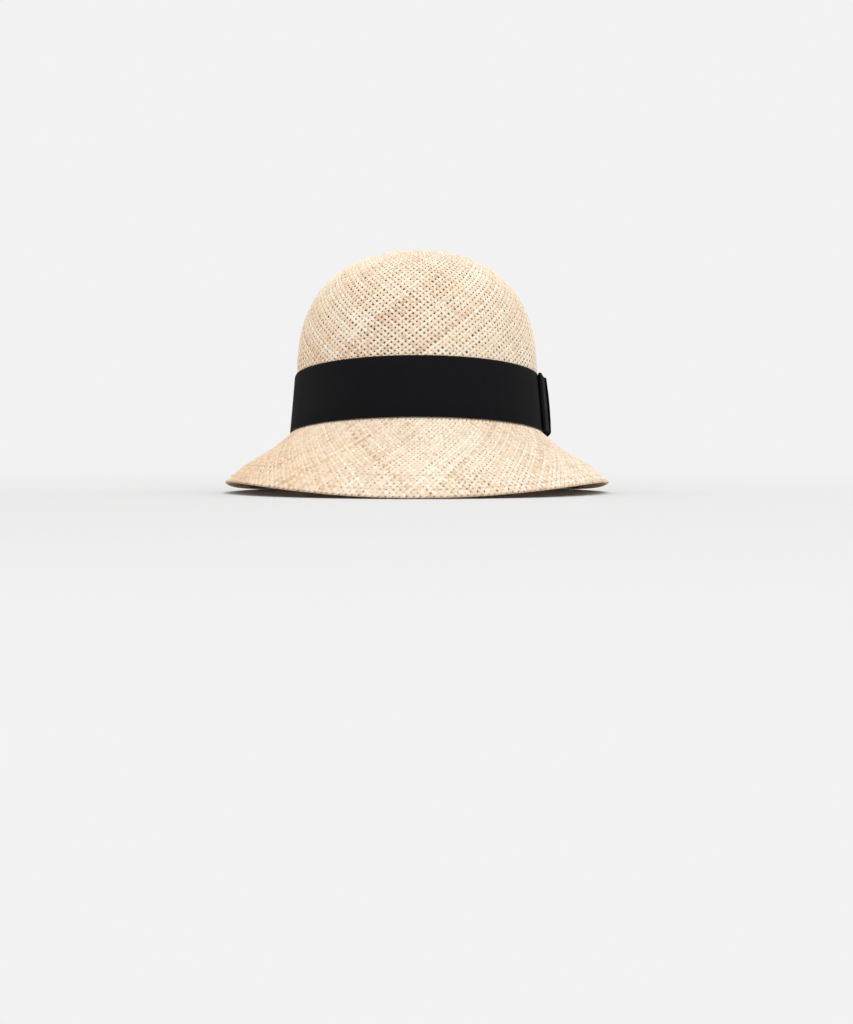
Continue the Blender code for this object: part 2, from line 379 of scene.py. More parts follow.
# %% A finish
class Finish:
    """A material with one shader, built by the method node."""

    def __init__(self, name):
        self.material = bpy.data.materials.new(name)
        self.material.use_nodes = True
        self.tree = self.material.node_tree
        self.tree.nodes.clear()

    def node(self, kind, settings=None, inputs=None, output=0):
        """Adds a node, sets its settings first, then its sockets, and returns one output."""
        made = self.tree.nodes.new(kind)
        for name, value in (settings or {}).items():
            if name == "stops":
                ramp = made.color_ramp
                while len(ramp.elements) < len(value):
                    ramp.elements.new(0.5)
                for stop, (place, colour) in zip(ramp.elements, value):
                    stop.position, stop.color = place, (*colour, 1)
            else:
                setattr(made, name, value)
        for name, value in (inputs or {}).items():
            if isinstance(value, Wire):
                self.tree.links.new(value.socket, made.inputs[name])
            else:
                made.inputs[name].default_value = value
        return Wire(self, made.outputs[output]) if made.outputs else None

    def math(self, operation, *values):
        """A Math node of wires and numbers, in the order given."""
        return self.node("ShaderNodeMath", {"operation": operation}, dict(enumerate(values)))

    def mix(self, share, first, second, blend="MIX"):
        """Colours through a Mix node, because a Math node would turn them grey."""
        return self.node("ShaderNodeMix", {"data_type": "RGBA", "blend_type": blend},
                         {0: share, 6: first, 7: second}, output=2)

    def shade(self, inputs):
        """The Principled shader and the material's output."""
        shader = self.node("ShaderNodeBsdfPrincipled", {}, inputs)
        self.node("ShaderNodeOutputMaterial", {}, {"Surface": shader})
        return self.material


print("finish:", Finish.__doc__)

# %% [markdown]
# ## The straw's finish
#
# Each strand is a split stem, pale cream with a soft shine, and no two are quite the same
# colour: a few are pinkish or tan. A photograph of straw would stretch over so many thin
# strands, so the colour is worked out. The shade number gives each strand its own, the UV
# map gives fine lines along it and painted shade in the grooves between its stems, a slow
# noise over the hat adds warmer patches, and the tan number paints shade as a darker,
# warmer tint underneath the strands, in the hem and on the side away from the key light.

# %% Straw
STEMS = 6
USUAL_SHADE = 0.64
LINES_ROUND, LINES_ALONG, LINES_APART = 22.0, 70.0, 40.0
LINES_DEPTH, GROOVE_PAINTED_SHADE = 0.5, 0.22
PATCH_SCALE, PATCH_DEPTH = 24.0, 0.4
STRAW_COLOURS = [(0.0, (0.40, 0.22, 0.11)), (0.25, (0.66, 0.43, 0.26)),
                 (0.5, (0.85, 0.66, 0.48)), (0.75, (0.94, 0.82, 0.66)),
                 (1.0, (0.98, 0.93, 0.84))]
# Warm, darker tint that the painted shade multiplies in.
PAINTED_SHADE_TINT = (0.96, 0.78, 0.56, 1)


def straw_finish(name, warmth, contrast):
    """Colour from the strand's shade, its stems and its fine lines. Going round a strand
    passes six stems, so three show on top, with a groove between each two that is darkened
    as painted shade; the lines are noise that is stretched along the strand. Contrast scales
    all three round one shade."""
    f = Finish(name)
    lay = f.node("ShaderNodeUVMap", {"uv_map": "lay"})
    around = f.node("ShaderNodeSeparateXYZ", {}, {"Vector": lay}, output=0)
    along = f.node("ShaderNodeSeparateXYZ", {}, {"Vector": lay}, output=1)
    shade = f.node("ShaderNodeAttribute", {"attribute_name": "shade"}, output=2)
    groove = (around * (TURN * STEMS)).math("COSINE") * 0.5 + 0.5
    place = f.node("ShaderNodeCombineXYZ", {}, {
        "X": around * LINES_ROUND, "Y": along * LINES_ALONG, "Z": shade * LINES_APART})
    lines = f.node("ShaderNodeTexNoise", {}, {"Vector": place, "Scale": 1.0, "Detail": 2.0})
    here = f.node("ShaderNodeTexCoord", output=3)
    patchy = f.node("ShaderNodeTexNoise", {}, {
        "Vector": here, "Scale": PATCH_SCALE, "Detail": 2.0})
    # The groove term is painted shade: the colour darkens along the grooves between stems.
    light = (shade - USUAL_SHADE + (lines - 0.5) * LINES_DEPTH
             - groove.math("POWER", 3.0) * GROOVE_PAINTED_SHADE) * contrast
    tone = (light + (patchy - 0.5) * PATCH_DEPTH + USUAL_SHADE - warmth).clipped()
    colour = f.node("ShaderNodeValToRGB", {"stops": STRAW_COLOURS}, {"Fac": tone})
    # Painted shade: the tan attribute multiplies in a darker, warmer tint where shade falls.
    tan = f.node("ShaderNodeAttribute", {"attribute_name": "tan"}, output=2)
    colour = f.mix(tan, colour, PAINTED_SHADE_TINT, "MULTIPLY")
    bump = f.node("ShaderNodeBump", {}, {"Strength": 0.35, "Distance": 0.00025,
                                         "Height": lines * 0.6 - groove.math("POWER", 2.0)})
    return f.shade({"Base Color": colour, "Roughness": 0.58 + (lines - 0.5) * 0.2,
                    "Normal": bump, "Specular IOR Level": 0.3})


CROWN_STRAW = straw_finish("crown straw", -0.06, 0.9)
BRIM_STRAW = straw_finish("brim straw", -0.04, 0.95)
print("finishes:", CROWN_STRAW.name, "and", BRIM_STRAW.name)

# %% [markdown]
# ## How the weave runs
#
# A straw body is woven from the middle of the tip outwards, and its two sets of strands
# wind round the crown like the threads of a left-hand and a right-hand screw. Each strand
# could be laid down by hand, but both sets cross the level lines at the same slope, so they
# meet on rings: strand i of one set and strand j of the other cross on ring j - i. That
# makes the whole weave a matter of counting: the ring's number says how far down the hat it
# is, and whether a strand passes over or under.

# %% Rings of crossings
def rings(distance, radius, slope, count):
    """Ring number at each distance along a profile: a strand gains one ring each time it
    has turned by pi / count, and turns by cot(slope) / radius for each metre that it goes."""
    turning = 1 / (np.tan(slope) * radius)
    gained = (turning[1:] + turning[:-1]) / 2 * np.abs(np.diff(distance))
    return np.append(0, np.cumsum(gained)) * count / math.pi


centimetre = rings(np.array([0, 0.01]), np.full(2, 0.09), np.radians([45, 45]), 100)
print("100 strands at 45 degrees round a 90 mm radius, crossings in 10 mm:",
      round(centimetre[-1], 1))

# %% [markdown]
# ## The weaver's hand
#
# No hand lays straw evenly. Each strand strays a little from its place, swells and thins,
# and whole patches of the cloth are more open than others. Noise at every point would look
# like dust, so most of this is slow waves along a strand or over the hat, and only a little
# is drawn afresh at each crossing.

# %% Strays and patches
STRAY_WAVES = ((0.5, 1), (0.3, 2.3), (0.2, 4.7))
PATCH_WAVES = ((0.5, 3, -0.75, 21), (0.3, 5, 2.7, -48), (0.2, 9, 0.2, 75))


def wander(rng, count, number, size, length):
    """A slow drift for each strand: three sine waves of random phase along its rings."""
    drift = np.zeros((count, len(number)))
    for share, shorter in STRAY_WAVES:
        phase = rng.uniform(0, TURN, (count, 1))
        drift += share * np.sin(TURN * number / (length / shorter) + phase)
    return size * drift


def patches(azimuth, along):
    """Three sine waves round and down the hat, between -1 and 1: where they are high, the
    weaver beat the strands together less firmly, and the cloth is more open."""
    return sum(share * np.sin(times * azimuth + phase + down * along)
               for share, times, phase, down in PATCH_WAVES)


around = np.linspace(0, TURN, 361)
loosest = around[patches(around, 0 * around + 0.07).argmax()]
print("70 mm down from the apex, the cloth is most open at", round(math.degrees(loosest)),
      "degrees from the front")

# %% [markdown]
# ## Over and under
#
# A strand rides over one crossing strand and dives under the next. It could be flat with a
# bump map, but then no light would fall through the weave, so each strand is a real rod
# that is lifted and sunk along the block's normal. A seed for each set keeps the hat the
# same each time.

# %% Strands of one set
STRAND_THICKNESS = 0.00062
WAVE_HEIGHT = 0.42
# Slow drift, the rings that it takes, and what is drawn at each station or for each strand.
PLACE_DRIFT, PLACE_RINGS, PLACE_JITTER = 0.13, 46, 0.02
WIDTH_DRIFT, WIDTH_RINGS, WIDTH_JITTER, WIDTH_ODDS = 0.05, 61, 0.04, 0.03
SHADE_DRIFT, SHADE_RINGS, SHADE_JITTER, SHADE_ODDS = 0.08, 70, 0.08, 0.07
DARK_STRANDS, DARKER_BY = 0.06, 0.2
TINY = 1e-4


def weave(surface, count, hand, number, along, over, fill, uneven, seed, which=None):
    """Strands of one set. Each station lies on a ring; its azimuth is the strand's own
    place plus its hand times the rings it has passed, and it is lifted along the normal by
    over, so that it rides over one strand and under the next. Its width is fill times its
    pitch, less uneven times the patches, and a bit more or less from strand to strand and
    along each one."""
    rng = np.random.default_rng(seed)
    which = np.arange(count) if which is None else which
    n = len(which)
    pitch_angle = TURN / count
    drift = (wander(rng, n, number, PLACE_DRIFT, PLACE_RINGS)
             + rng.normal(0, PLACE_JITTER, (n, len(number))))
    azimuth = pitch_angle * (which[:, None] + hand * number / 2 + drift)
    along = np.broadcast_to(along, azimuth.shape)
    middle = surface(azimuth, along)
    normal = facing(surface, azimuth, along)
    side = across_of(normal, middle)
    girth = (surface(azimuth + TINY, along) - surface(azimuth - TINY, along)) / (2 * TINY)
    pitch = pitch_angle * np.abs(np.einsum("ijk,ijk->ij", girth, side))
    width = pitch * fill * (1 - uneven * patches(azimuth, along)
                            + rng.normal(0, WIDTH_ODDS, (n, 1))
                            + wander(rng, n, number, WIDTH_DRIFT, WIDTH_RINGS)
                            + rng.normal(0, WIDTH_JITTER, azimuth.shape))
    middle = middle + normal * (over * STRAND_THICKNESS * WAVE_HEIGHT)[..., None]
    darker = DARKER_BY * (rng.random((n, 1)) < DARK_STRANDS)
    shades = np.clip(USUAL_SHADE + rng.normal(0, SHADE_ODDS, (n, 1)) - darker
                     + wander(rng, n, number, SHADE_DRIFT, SHADE_RINGS)
                     + rng.normal(0, SHADE_JITTER, azimuth.shape), 0.02, 1)
    return rods(middle, side * (width / 2)[..., None], normal * STRAND_THICKNESS / 2, shades)


print("a strand is", STRAND_THICKNESS * 1000, "mm thick and swings",
      round(STRAND_THICKNESS * WAVE_HEIGHT * 1000, 2), "mm to each side")

# %% [markdown]
# ## Where shade is painted on the straw
#
# Straw in shade looks darker and warmer: underneath, in the hem and a little on the side
# away from the key light. That shade is painted into the colour. It could be painted by
# hand, but a number at each point that the finish multiplies by follows the weave exactly.

# %% Painted shade at each point
# Painted shade at a strand's side corners and on the hat's side away from the key light.
SIDE_PAINTED_SHADE, AWAY_PAINTED_SHADE = 0.2, 0.35
AWAY_STARTS, AWAY_FADES = 0.03, 0.05


def painted_shade_at(points, section=SPLINT, hem=0.0):
    """Painted shade, a darker and warmer tint, at each point: all of it at the strand's corner
    underneath, a fifth at its side corners, none on top, about a third on the hat's side
    away from the key light, where it fades in over 50 mm, and in the hem what hem says."""
    level = section[:, 1]
    corners = np.where(level > 0, 0, np.where(level < 0, 1, SIDE_PAINTED_SHADE))
    below = np.tile(corners, len(points) // len(level))
    away = AWAY_PAINTED_SHADE * np.clip((-points[:, 0] - AWAY_STARTS) / AWAY_FADES, 0, 1)
    return np.maximum(np.maximum(below, away), hem)


print("tan at a strand's five corners:", painted_shade_at(np.zeros((len(SPLINT), 3))))

# %% [markdown]
# ## The crown's rings
#
# The crown needs about as many strands as fit round it 3 mm apart, but near the apex the
# same number would crowd to nothing. A real weaver starts with a few strands and lays in
# new ones as the tip grows. Here it is told from the outside in: where the strands have
# come closer than they can lie, every second one tapers away and the others take up its
# room, three times over, and the last of them meet under a small coil.

# %% Stations from the head line to the apex
CROWN_STRANDS = 112
STRAW_THICKNESS = 0.0012
HALVINGS = (0.030, 0.015, 0.0075)
TIP_RADIUS = 0.0026
SLOPE_RADII, SLOPES = [0.040, 0.075, 0.091], [56, 46, 35]


def crown_slope(radius):
    """Slope of the strands to the level line: about 36 degrees at the ribbon, steeper
    towards the apex."""
    return np.radians(np.interp(radius, SLOPE_RADII, SLOPES))


def crown_cloth(azimuth, down):
    """The middle of the straw: half its thickness inside the crown's outer face."""
    return crown_outer(azimuth, down) - STRAW_THICKNESS / 2 * facing(crown_outer, azimuth, down)


def crown_rings():
    """Station rings from the head line to the apex, with how far down each lies, whether
    it lifts the strand, and the station at which each halving of the strands falls. A
    halving falls on a whole number of waves, so that over and under go on in step."""
    inside = CROWN_SHARE * MEAN_RADIUS > TIP_RADIUS
    down, radius = CROWN_DOWN[inside][::-1], (CROWN_SHARE * MEAN_RADIUS)[inside][::-1]
    number = rings(down, radius, crown_slope(radius), CROWN_STRANDS)
    stations, lift, ends, stride, start = [], [], [], 1, 0.0
    for limit in (*HALVINGS, TIP_RADIUS):
        last = np.interp(-limit, -radius, number)
        stop = stride * 4 * round(last / (stride * 4)) if limit > TIP_RADIUS else last
        here = np.arange(start, stop, stride / 2)
        stations.append(here)
        lift.append(np.cos(np.pi * here / stride))
        ends.append(sum(len(s) for s in stations))
        start, stride = stop, stride * 2
    number_at = np.concatenate(stations)
    return number_at, np.interp(number_at, number, down), np.concatenate(lift), ends


RING_AT, DOWN_AT, LIFT_AT, ENDS_AT = crown_rings()
print("stations on the crown:", len(RING_AT), "- its sets of strands end at", ENDS_AT)

# %% [markdown]
# ## The crown's strands
#
# This crown is an open weave: near the ribbon its strands leave about a fifth of their
# pitch free, and towards the tip they close up. An even width would be simpler, but the
# light that falls through the gaps is what makes the hat look like a summer one.

# %% Weave the crown
FILL_RADII, FILL_SHARES = [0.030, 0.065, 0.091], [0.93, 0.88, 0.78]
TAPER_RINGS = 5
TAPER = 0.85
CROWN_UNEVEN = 0.10


def crown_fill(level):
    """Share of the pitch that a strand covers at each station, more open at the ribbon.
    Over the last five rings before each halving, strands that go on grow to twice their
    share by a smooth step, and those that end there shrink by it."""
    radius = np.interp(DOWN_AT, CROWN_DOWN, CROWN_SHARE) * MEAN_RADIUS
    fill = np.interp(radius, FILL_RADII, FILL_SHARES)
    for step, end in enumerate(ENDS_AT[:len(HALVINGS)][:level + 1]):
        part = np.clip((RING_AT - RING_AT[end]) / (TAPER_RINGS * 2 ** step) + 1, 0, 1)
        ease = part * part * (3 - 2 * part)
        fill = fill * (1 + ease if step < level else 1 - TAPER * ease)
    return fill


def crown_set(name, hand, seed):
    """One hand of the crown's strands, from the short many to the full-length few."""
    parts = []
    for level, end in enumerate(ENDS_AT):
        which = np.arange(0, CROWN_STRANDS, 2 ** level)
        if level < len(HALVINGS):
            which = which[1::2]
        parts.append(weave(crown_cloth, CROWN_STRANDS, hand, RING_AT[:end], DOWN_AT[:end],
                           hand * LIFT_AT[:end], crown_fill(level)[:end], CROWN_UNEVEN,
                           seed + level, which))
    points, faces, spots, shades = joined(parts)
    make_piece(name, points, faces, spots, shades, CROWN_STRAW, "crown_straw", ["crown"],
               painted_shade_at(points))


crown_set("crown_strands_left", -1, 11)
crown_set("crown_strands_right", 1, 23)

# %% [markdown]
# ## The tip
#
# The first strands of a straw body are tied in the middle of the tip. That place could be
# a plain cap, but a flat coil of one strand, as the weaver's finishing turn makes, covers
# it and closes the pole with the same straw.

# %% Coil on the tip
COIL_TURNS = 2.5
COIL_STEP = 0.00135
COIL_PAST_APEX, COIL_START = 0.0006, 0.00005
COIL_DEPTH, COIL_SINK = 0.0002, 0.0007
# Half its width in steps of the coil, and half its thickness in thicknesses of a strand.
COIL_FULL, COIL_THICK = 0.62, 0.7


def tip_coil():
    """One strand whose distance from the apex grows evenly with the angle, lying on the
    crown's outer face and sinking over its last half turn. Its first station is past the
    apex, so that the pole is covered."""
    turned = np.append(-math.pi, np.linspace(0, COIL_TURNS * TURN, 81))[None]
    down = np.append(COIL_PAST_APEX, COIL_START + COIL_STEP * turned[0, 1:] / TURN)[None]
    normal = facing(crown_outer, turned, down)
    sink = COIL_SINK * np.clip(turned / TURN - COIL_TURNS + 0.5, 0, 1)
    middle = crown_outer(turned, down) - normal * (COIL_DEPTH + sink)[..., None]
    side = across_of(normal, middle)
    shades = 0.58 + 0.08 * np.sin(9 * turned)
    return rods(middle, side * COIL_STEP * COIL_FULL, normal * STRAND_THICKNESS * COIL_THICK,
                shades, THREAD)


points, faces, spots, shades = tip_coil()
make_piece("tip_coil", points, faces, spots, shades, CROWN_STRAW, "crown_straw",
           tan=painted_shade_at(points, THREAD))

# %% [markdown]
# ## The brim and its hem
#
# The brim is a second piece of the same cloth. It starts inside the crown, where it is sewn
# under the ribbon, flares out to the edge, turns there round a fold about a millimetre
# wide, and runs back underneath as the hem. Brim and hem could be two pieces, but one path
# down the cloth lets the strands run straight through the fold as they do in the real hat.

# %% The brim's path
BRIM_STRANDS = 196
COLLAR_HEIGHT, COLLAR_START, COLLAR_BLEND = 0.010, 0.004, 0.0015
HEM_WIDTH = 0.017
FOLD_RADIUS = STRAW_THICKNESS / 2
FOLD_LENGTH = math.pi * FOLD_RADIUS
FLAT_LENGTH = 0.056
PATH_LENGTH = COLLAR_HEIGHT + FLAT_LENGTH + FOLD_LENGTH + HEM_WIDTH
EDGE_OUT, HEM_OUT = 0.040, 0.028
BRIM_SLOPE, BRIM_STEEPENS = 40, 4


def brim_cloth(azimuth, path):
    """The middle of the straw along the path: down the collar, out over the brim, round the
    fold, and back under it. On the brim the path is stretched to the brim's own depth."""
    depth = brim_depth(azimuth)
    margin = STRAW_THICKNESS
    out = np.clip((path - COLLAR_HEIGHT) / FLAT_LENGTH, 0, 1)
    turn = np.clip((path - COLLAR_HEIGHT - FLAT_LENGTH) / FOLD_RADIUS, 0, math.pi)
    back = np.clip(path - COLLAR_HEIGHT - FLAT_LENGTH - FOLD_LENGTH, 0, None)
    inward = margin + (depth - margin) * (1 - out) - FOLD_RADIUS * np.sin(turn) + back
    below = STRAW_THICKNESS / 2 + FOLD_RADIUS * (1 - np.cos(turn))
    share = 1 - inward / depth
    sheet = brim_outer(azimuth, share) - below[..., None] * facing(brim_outer, azimuth, share)
    collar = wall_point(azimuth, np.clip(COLLAR_HEIGHT - path, 0, None),
                        -(1.5 * STRAW_THICKNESS + CLEARANCE))
    blend = np.clip((path - COLLAR_HEIGHT) / COLLAR_BLEND, 0, 1)[..., None]
    return collar * (1 - blend) + sheet * blend


def brim_rings():
    """Rings of crossings along the path, for a slope that grows from 40 to 44 degrees. The
    top of the collar, which nothing shows, is left out."""
    path = np.linspace(COLLAR_START, PATH_LENGTH, 2000)
    reach = MEAN_RADIUS + np.interp(path, [COLLAR_HEIGHT, COLLAR_HEIGHT + FLAT_LENGTH,
                                           PATH_LENGTH], [0, EDGE_OUT, HEM_OUT])
    slope = np.radians(BRIM_SLOPE + BRIM_STEEPENS * path / PATH_LENGTH)
    number = rings(path, reach, slope, BRIM_STRANDS)
    number_at = np.arange(0, number[-1], 0.5)
    return number_at, np.interp(number_at, number, path)


BRIM_RING_AT, PATH_AT = brim_rings()
print("stations on the brim:", len(BRIM_RING_AT))

# %% [markdown]
# ## The brim's strands
#
# The brim has to hold its shape, so its weave is closer and more even than the crown's. Its
# strands are made by the same function, with more of them and less play, and the hem past
# the fold alone gets extra painted shade.

# %% Weave the brim
BRIM_FILL = 0.94
BRIM_UNEVEN = 0.06
# How much painted shade the hem gets past the fold.
HEM_PAINTED_SHADE = 0.55


def brim_set(name, hand, seed):
    """One hand of the brim's strands, with the hem's painted shade growing round the fold."""
    points, faces, spots, shades = weave(
        brim_cloth, BRIM_STRANDS, -hand, BRIM_RING_AT, PATH_AT,
        hand * np.cos(np.pi * BRIM_RING_AT), BRIM_FILL, BRIM_UNEVEN, seed)
    past_fold = np.clip((PATH_AT - COLLAR_HEIGHT - FLAT_LENGTH) / FOLD_LENGTH, 0, 1)
    hem = HEM_PAINTED_SHADE * np.repeat(np.tile(past_fold, BRIM_STRANDS), len(SPLINT))
    make_piece(name, points, faces, spots, shades, BRIM_STRAW, "brim_straw", ["brim"],
               painted_shade_at(points, hem=hem))


brim_set("brim_strands_left", -1, 31)
brim_set("brim_strands_right", 1, 47)

# %% [markdown]
# ## Stitches
#
# Two rows of stitching hold the hem: one close to the edge and one at the hem's cut end.
# They could be a line in the finish, but from the side a stitch stands up. Each one is a
# short thread that comes up out of the straw and goes down again, on the brim's upper face
# and on the hem's lower one.

# %% Stitch the hem
STITCH_ROWS = (0.0055, 0.0155)
STITCH_LENGTH = 0.0028
STITCH_STEP = 0.0044
STITCH_RISE = 1.7
STITCH_SHADE = 0.72
THREAD_THICKNESS = 0.00036
HEM_LEVEL = -(STRAW_THICKNESS / 2 + 2 * FOLD_RADIUS + 0.92 * STRAND_THICKNESS)


def stitches(inward, level, side_up):
    """A row of threads at one distance from the edge and one level over the brim's outer
    face. Each has five points, and rises out of the cloth and back as a half cosine."""
    around = np.linspace(0, TURN, 2001)
    row = brim_outer(around, 1 - inward / brim_depth(around))
    run = np.append(0, np.cumsum(np.linalg.norm(np.diff(row, axis=0), axis=1)))
    count = round(run[-1] / STITCH_STEP)
    share = np.linspace(-0.5, 0.5, 5)
    place = (np.arange(count)[:, None] * STITCH_STEP + share * STITCH_LENGTH) % run[-1]
    azimuth = np.interp(place, run, around)
    out = 1 - inward / brim_depth(azimuth)
    normal = facing(brim_outer, azimuth, out) * side_up
    rise = THREAD_THICKNESS * (STITCH_RISE * np.cos(np.pi * share) - 1)
    middle = brim_outer(azimuth, out) + normal * (rise + level * side_up)[..., None]
    side = across_of(normal, middle)
    return rods(middle, side * THREAD_THICKNESS / 2, normal * THREAD_THICKNESS / 2,
                np.full(place.shape, STITCH_SHADE), THREAD)


make_piece("hem_stitches", *joined([stitches(inward, level, side_up)
                                    for inward in STITCH_ROWS
                                    for level, side_up in ((0, 1), (HEM_LEVEL, -1))]),
           BRIM_STRAW, "brim_straw")

# %% [markdown]
# ## The ribbon's finish
#
# The ribbon is black rayon grosgrain: matt, with a soft grey sheen where the light grazes
# its ribs. One flat black would look like a hole, so fine threads, a lighter selvedge, a
# painted highlight on the top of each rib and a little sheen break it up.

# %% Ribbon
THREADS_ALONG, THREADS_ACROSS = 5200.0, 900.0
RIBBON_DARK = (0.0016, 0.0017, 0.0021, 1)
RIBBON_LIGHT = (0.0062, 0.0064, 0.0078, 1)


def ribbon_finish(name):
    """Near black, a little lighter on the selvedge, along fine threads, and as a painted highlight
    on each rib's top.
    """
    f = Finish(name)
    lay = f.node("ShaderNodeUVMap", {"uv_map": "lay"})
    shade = f.node("ShaderNodeAttribute", {"attribute_name": "shade"}, output=2)
    threads = f.node("ShaderNodeTexNoise", {}, {
        "Vector": f.node("ShaderNodeVectorMath", {"operation": "MULTIPLY"},
                         {0: lay, 1: (THREADS_ALONG, THREADS_ACROSS, 1.0)}),
        "Scale": 1.0, "Detail": 2.0})
    # The shade number brings the lighter selvedge and the painted highlight on each rib's top.
    share = (threads * 0.5 + shade * 0.5).clipped()
    colour = f.mix(share, RIBBON_DARK, RIBBON_LIGHT)
    bump = f.node("ShaderNodeBump", {}, {"Strength": 0.4, "Distance": 0.0001, "Height": threads})
    return f.shade({"Base Color": colour, "Roughness": 0.66 + (threads - 0.5) * 0.2,
                    "Normal": bump, "Specular IOR Level": 0.08, "Sheen Weight": 0.008,
                    "Sheen Roughness": 0.4})


RIBBON = ribbon_finish("black grosgrain")
print("finish:", RIBBON.name)

# %% [markdown]
# ## Ribs
#
# Grosgrain is woven with thick cords across its width, a little under a millimetre apart,
# and each edge ends in a narrow flat selvedge. A bump could draw them, but they also notch
# the ribbon's outline. One helper makes any closed loop of it: it takes the ribbon's middle
# as a surface of (distance along, share across), and swells both of its faces by a wave
# along it that dies out at the edges.

# %% A ribbed ribbon
RIBBON_WIDTH = 0.038
RIBBON_THICKNESS = 0.001
RIB_PITCH = 0.00092
RIB_DEPTH = 0.00016
RIB_STATIONS = 4
RIBBON_SEED = 5
SELVEDGE = 0.0011
SELVEDGE_THINNER = 0.3
WAVE_DIES = 0.1


def ribbed(surface, length, width):
    """Points, faces, spots and shades of a closed ribbon. Each station is a ring: up its
    outer face and down its inner one. Its half thickness is half the ribbon's, less the rib
    depth times one minus the rib wave, and the wave fades to nothing within the selvedge,
    whose very edge is thinner still. The shade is lighter on the selvedge, and it carries a
    painted highlight on top of each rib and painted shade between the ribs."""
    rng = np.random.default_rng(RIBBON_SEED)
    ribs = round(length / RIB_PITCH)
    stations = np.arange(ribs * RIB_STATIONS) / RIB_STATIONS
    edge = SELVEDGE / width
    across = np.concatenate([[0], np.linspace(edge, 1 - edge, 5), [1]])
    along = stations * length / ribs
    s, v = np.meshgrid(along, across, indexing="ij")
    middle = surface(s, v)
    step = 1e-5
    normal = unit(np.cross(surface(s + step, v) - surface(s - step, v),
                           surface(s, v + 0.002) - surface(s, v - 0.002)))
    wave = 0.5 - 0.5 * np.cos(TURN * stations)
    rounded = np.sin(np.pi * np.clip(np.minimum(across, 1 - across) / edge, 0, 1) / 2)
    half = (RIBBON_THICKNESS / 2 - RIB_DEPTH * (1 - wave[:, None] * rounded)
            - SELVEDGE_THINNER * RIBBON_THICKNESS * (rounded < WAVE_DIES))
    ring = np.concatenate([middle + normal * half[..., None],
                           (middle - normal * half[..., None])[:, ::-1]], 1)
    number = np.arange(ring[..., 0].size).reshape(ring.shape[:2])
    place = np.concatenate([across, across[::-1]]) * width
    start = along[:, None]
    faces, spots = net(number, np.roll(number, -1, 0), place, np.roll(place, -1), start,
                       start + length / ribs / RIB_STATIONS)
    spots = spots[..., ::-1]
    points = ring.reshape(-1, 3)
    corner = points[faces]
    volume = np.einsum("ij,ij->", corner[:, 0], np.cross(corner[:, 1], corner[:, 2])
                       + np.cross(corner[:, 2], corner[:, 3]))
    if volume < 0:
        faces, spots = faces[:, ::-1], spots[:, ::-1]
    on_ring = np.concatenate([rounded, rounded[::-1]])
    # The rib wave term paints a highlight on each rib's top and shade between the ribs.
    shades = (rng.normal(0.5, 0.08, (len(ring), 1)) + 0.5 * (wave[:, None] - 0.5) * on_ring
              + 0.35 * (on_ring < WAVE_DIES))
    return points, faces, spots, shades.ravel()


print("ribs on 100 mm of ribbon:", round(0.1 / RIB_PITCH))

# %% [markdown]
# ## The band
#
# The ribbon runs once round the foot of the crown, flat against the straw. It could be a
# strip with two cut ends, but those meet under the bow where nobody sees them, so it is
# made as one closed hoop.

# %% Hatband
BAND_MIDDLE = CLEARANCE + RIBBON_THICKNESS / 2
BAND_FOOT = -0.0005
RIPPLE = 0.0001


def hoop():
    """Distance round the band against azimuth, measured half way up its width."""
    azimuth = np.linspace(0, TURN, 4001)
    ring = wall_point(azimuth, 0 * azimuth + RIBBON_WIDTH / 2, BAND_MIDDLE)
    return np.append(0, np.cumsum(np.linalg.norm(np.diff(ring, axis=0), axis=1))), azimuth


HOOP_RUN, HOOP_AZIMUTH = hoop()


def band_surface(run, across):
    """The middle of the band: over the crown's wall, from its foot on the brim's root, with
    a ripple of a tenth of a millimetre so that it isn't perfectly smooth."""
    azimuth = np.interp(run % HOOP_RUN[-1], HOOP_RUN, HOOP_AZIMUTH)
    ripple = RIPPLE * np.sin(7 * azimuth + 5 * across) * np.sin(3 * azimuth + 1)
    height = BAND_FOOT + (RIBBON_WIDTH + CLEARANCE - BAND_FOOT) * across
    return wall_point(azimuth, height, BAND_MIDDLE + ripple)


hatband = make_piece("hatband_ribbon", *ribbed(band_surface, HOOP_RUN[-1], RIBBON_WIDTH),
                     RIBBON, "ribbon", ["hatband"])
print("band, mm round:", round(HOOP_RUN[-1] * 1000))

# %% [markdown]
# ## The bow's loops
#
# A tailored bow is one short ribbon folded flat into two loops, and a second one wrapped
# round the middle to hold them. Folding could be simulated, but two layers pressed flat
# have nothing left to find out. Seen from above, the loops are a long thin racetrack, so
# they are drawn as a closed line, in distance along the band and distance proud of it.

# %% Loops as a closed line
BOW_LENGTH = 0.062
LOOP_GAP = 0.0006
LOOP_BLEND = 0.010
KNOT_WIDTH = 0.015


def along_line(first, second):
    """A closed line given by two coordinates, as distance run and both coordinates."""
    first, second = np.append(first, first[0]), np.append(second, second[0])
    run = np.append(0, np.cumsum(np.hypot(np.diff(first), np.diff(second))))
    return run, first, second


